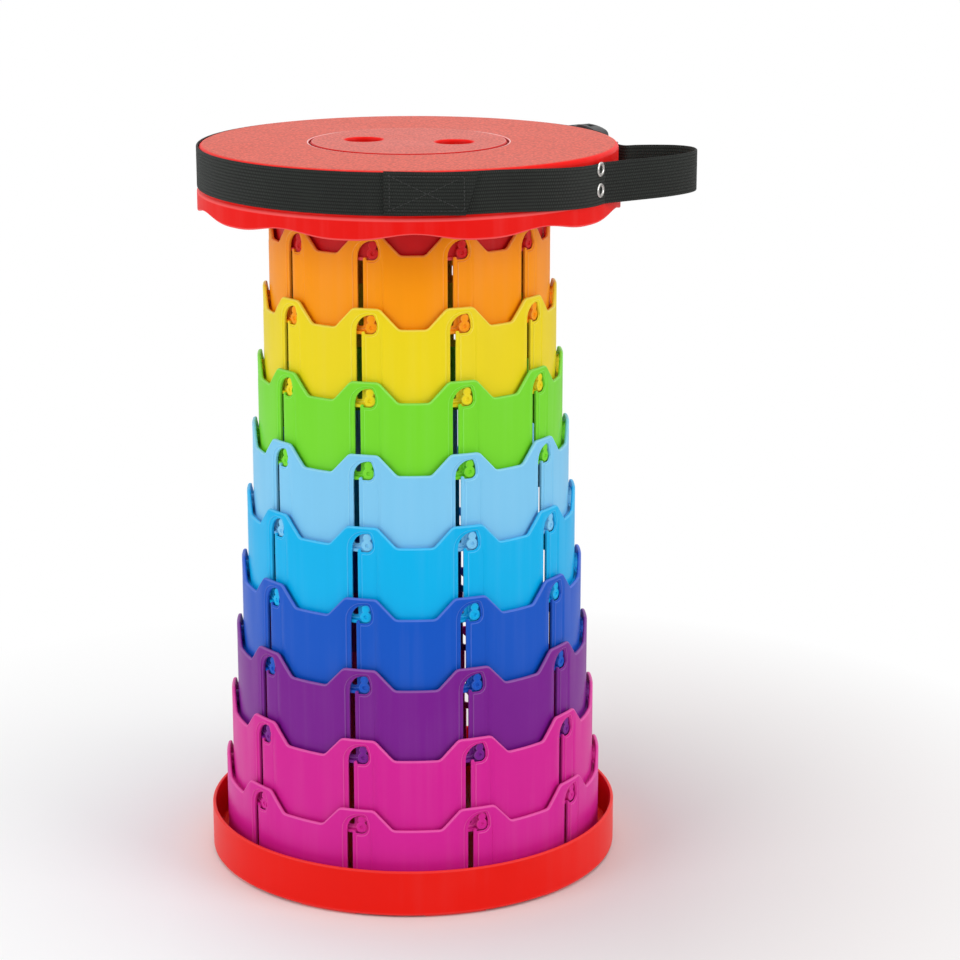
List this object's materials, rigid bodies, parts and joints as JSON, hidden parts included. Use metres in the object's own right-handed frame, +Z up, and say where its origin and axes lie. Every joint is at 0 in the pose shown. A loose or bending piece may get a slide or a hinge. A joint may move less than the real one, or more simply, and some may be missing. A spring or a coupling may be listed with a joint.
{
  "type": "telescopic camp stool",
  "caption": "Telescopic camp stool: nested plastic rings with hooked slots lift a round seat from a tray base, with a webbing belt and carry loop.",
  "frame": {"origin": "centre of the base's underside, on the ground", "axes": "+Z up along the axis of the rings, front at -Y, carry loop towards +X"},
  "size_m": [0.2999, 0.2582, 0.4532],
  "materials": {
    "ring_red": "satin moulded polypropylene",
    "ring_orange": "satin moulded polypropylene",
    "ring_yellow": "satin moulded polypropylene",
    "ring_green": "satin moulded polypropylene",
    "ring_light_blue": "satin moulded polypropylene",
    "ring_sky_blue": "satin moulded polypropylene",
    "ring_royal_blue": "satin moulded polypropylene",
    "ring_purple": "satin moulded polypropylene",
    "ring_magenta": "satin moulded polypropylene",
    "seat_red": "satin moulded polypropylene",
    "base_red": "satin moulded polypropylene",
    "webbing_black": "woven polypropylene webbing",
    "buckle_black": "fine moulded grain",
    "eyelet_steel": "polished nickel plate"
  },
  "bodies": {
    "base": {"base_tray": "base_red", "ring_10": "ring_magenta"},
    "ring_09": {"ring_09": "ring_magenta"},
    "ring_08": {"ring_08": "ring_purple"},
    "ring_07": {"ring_07": "ring_royal_blue"},
    "ring_06": {"ring_06": "ring_sky_blue"},
    "ring_05": {"ring_05": "ring_light_blue"},
    "ring_04": {"ring_04": "ring_green"},
    "ring_03": {"ring_03": "ring_yellow"},
    "ring_02": {"ring_02": "ring_orange"},
    "seat": {"seat_top": "seat_red", "ring_01": "ring_red", "centre_cap": "seat_red", "belt": "webbing_black", "belt_overlap": "webbing_black", "carry_loop": "webbing_black", "front_eyelets": "eyelet_steel", "rear_eyelets": "eyelet_steel", "buckle_socket": "buckle_black", "buckle_plug": "buckle_black"}
  },
  "joints": [
    {"name": "ring_09_slide", "type": "slide", "parent": "base", "child": "ring_09", "axis": [0, 0, 1], "range_m": [-0.0426, 0]},
    {"name": "ring_08_slide", "type": "slide", "parent": "ring_09", "child": "ring_08", "axis": [0, 0, 1], "range_m": [-0.0426, 0]},
    {"name": "ring_07_slide", "type": "slide", "parent": "ring_08", "child": "ring_07", "axis": [0, 0, 1], "range_m": [-0.0426, 0]},
    {"name": "ring_06_slide", "type": "slide", "parent": "ring_07", "child": "ring_06", "axis": [0, 0, 1], "range_m": [-0.0426, 0]},
    {"name": "ring_05_slide", "type": "slide", "parent": "ring_06", "child": "ring_05", "axis": [0, 0, 1], "range_m": [-0.0426, 0]},
    {"name": "ring_04_slide", "type": "slide", "parent": "ring_05", "child": "ring_04", "axis": [0, 0, 1], "range_m": [-0.0426, 0]},
    {"name": "ring_03_slide", "type": "slide", "parent": "ring_04", "child": "ring_03", "axis": [0, 0, 1], "range_m": [-0.0426, 0]},
    {"name": "ring_02_slide", "type": "slide", "parent": "ring_03", "child": "ring_02", "axis": [0, 0, 1], "range_m": [-0.0426, 0]},
    {"name": "seat_slide", "type": "slide", "parent": "ring_02", "child": "seat", "axis": [0, 0, 1], "range_m": [-0.0396, 0]}
  ]
}
